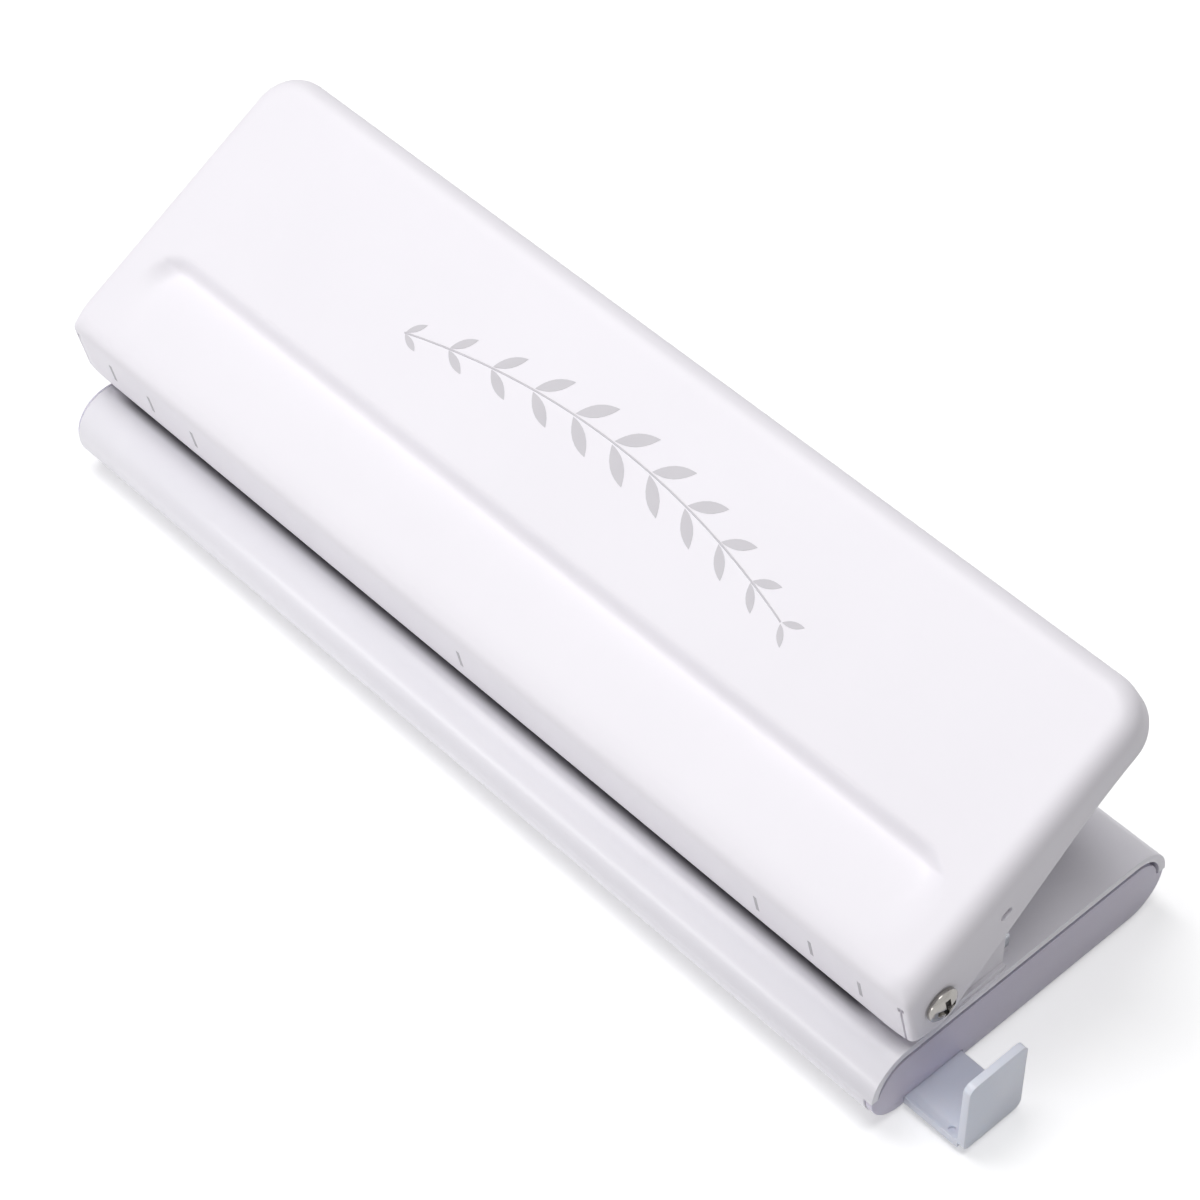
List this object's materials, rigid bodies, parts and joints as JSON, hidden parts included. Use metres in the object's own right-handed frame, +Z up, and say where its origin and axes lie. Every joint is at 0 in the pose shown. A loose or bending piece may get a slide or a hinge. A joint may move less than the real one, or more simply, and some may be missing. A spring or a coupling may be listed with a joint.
{
  "type": "six-hole punch",
  "caption": "Desk paper punch for ring-binder pages: sloping sprung lever over a row of punches on a flat half-round base, with a slide-out paper guide and a chip tray.",
  "frame": {"origin": "on the table, under the lever's centre mark and halfway through the depth of the base", "axes": "+X along the row of punches to the side of the paper guide, +Y from the paper side to the back, +Z up"},
  "size_m": [0.1746, 0.0544, 0.0467],
  "materials": {
    "white_enamel": "smooth satin enamel",
    "white_shell": "moulded, soft gloss",
    "pale_plastic": "moulded, fine matt",
    "zinc_steel": "zinc-plated sheet",
    "tool_steel": "ground",
    "spring_steel": "drawn wire and stamped rings",
    "nickel_screw": "nickel plated",
    "brass": "turned",
    "nylon": "moulded",
    "rubber_mat": "matt sheet"
  },
  "bodies": {
    "base": {"base_shell": "white_shell", "right_end_cap": "pale_plastic", "guide_keeper": "pale_plastic", "punch_frame": "white_enamel", "spacer_strip": "zinc_steel", "guide_plate": "zinc_steel", "frame_screws": "nickel_screw", "pivot_screw_left": "nickel_screw", "pivot_screw_right": "nickel_screw", "pivot_washer_left": "nylon", "pivot_washer_right": "nylon", "pivot_insert_left": "brass", "pivot_insert_right": "brass", "anti_slip_mat": "rubber_mat", "guide_bush_1": "brass", "spring_1": "spring_steel", "guide_bush_2": "brass", "spring_2": "spring_steel", "guide_bush_3": "brass", "spring_3": "spring_steel", "guide_bush_4": "brass", "spring_4": "spring_steel", "guide_bush_5": "brass", "spring_5": "spring_steel", "guide_bush_6": "brass", "spring_6": "spring_steel"},
    "lever": {"lever_cover": "white_enamel", "press_bar": "zinc_steel"},
    "punch_1": {"punch_pin_1": "tool_steel", "spring_collar_1": "spring_steel"},
    "punch_2": {"punch_pin_2": "tool_steel", "spring_collar_2": "spring_steel"},
    "punch_3": {"punch_pin_3": "tool_steel", "spring_collar_3": "spring_steel"},
    "punch_4": {"punch_pin_4": "tool_steel", "spring_collar_4": "spring_steel"},
    "punch_5": {"punch_pin_5": "tool_steel", "spring_collar_5": "spring_steel"},
    "punch_6": {"punch_pin_6": "tool_steel", "spring_collar_6": "spring_steel"},
    "guide": {"paper_guide": "pale_plastic"},
    "tray": {"chip_tray": "pale_plastic"}
  },
  "joints": [
    {"name": "lever_press", "type": "hinge", "parent": "base", "child": "lever", "pos_m": [0, -0.017, 0.0194], "axis": [-1, 0, 0], "range_deg": [0, 34], "stiffness_Nm_per_rad": 0.2, "springref_deg": -28.65},
    {"name": "punch_1_slide", "type": "slide", "parent": "base", "child": "punch_1", "axis": [0, 0, -1], "range_m": [0, 0.0038], "deforming": ["spring_1"]},
    {"name": "punch_2_slide", "type": "slide", "parent": "base", "child": "punch_2", "axis": [0, 0, -1], "range_m": [0, 0.0038], "deforming": ["spring_2"]},
    {"name": "punch_3_slide", "type": "slide", "parent": "base", "child": "punch_3", "axis": [0, 0, -1], "range_m": [0, 0.0038], "deforming": ["spring_3"]},
    {"name": "punch_4_slide", "type": "slide", "parent": "base", "child": "punch_4", "axis": [0, 0, -1], "range_m": [0, 0.0038], "deforming": ["spring_4"]},
    {"name": "punch_5_slide", "type": "slide", "parent": "base", "child": "punch_5", "axis": [0, 0, -1], "range_m": [0, 0.0038], "deforming": ["spring_5"]},
    {"name": "punch_6_slide", "type": "slide", "parent": "base", "child": "punch_6", "axis": [0, 0, -1], "range_m": [0, 0.0038], "deforming": ["spring_6"]},
    {"name": "guide_slide", "type": "slide", "parent": "base", "child": "guide", "axis": [1, 0, 0], "range_m": [-0.005, 0.04]},
    {"name": "tray_slide", "type": "slide", "parent": "base", "child": "tray", "axis": [-1, 0, 0], "range_m": [0, 0.13]}
  ],
  "couplings": [
    {"joint": "punch_1_slide", "follows": "lever_press", "m_per_rad": 0.00635},
    {"joint": "punch_2_slide", "follows": "lever_press", "m_per_rad": 0.00635},
    {"joint": "punch_3_slide", "follows": "lever_press", "m_per_rad": 0.00635},
    {"joint": "punch_4_slide", "follows": "lever_press", "m_per_rad": 0.00635},
    {"joint": "punch_5_slide", "follows": "lever_press", "m_per_rad": 0.00635},
    {"joint": "punch_6_slide", "follows": "lever_press", "m_per_rad": 0.00635}
  ]
}
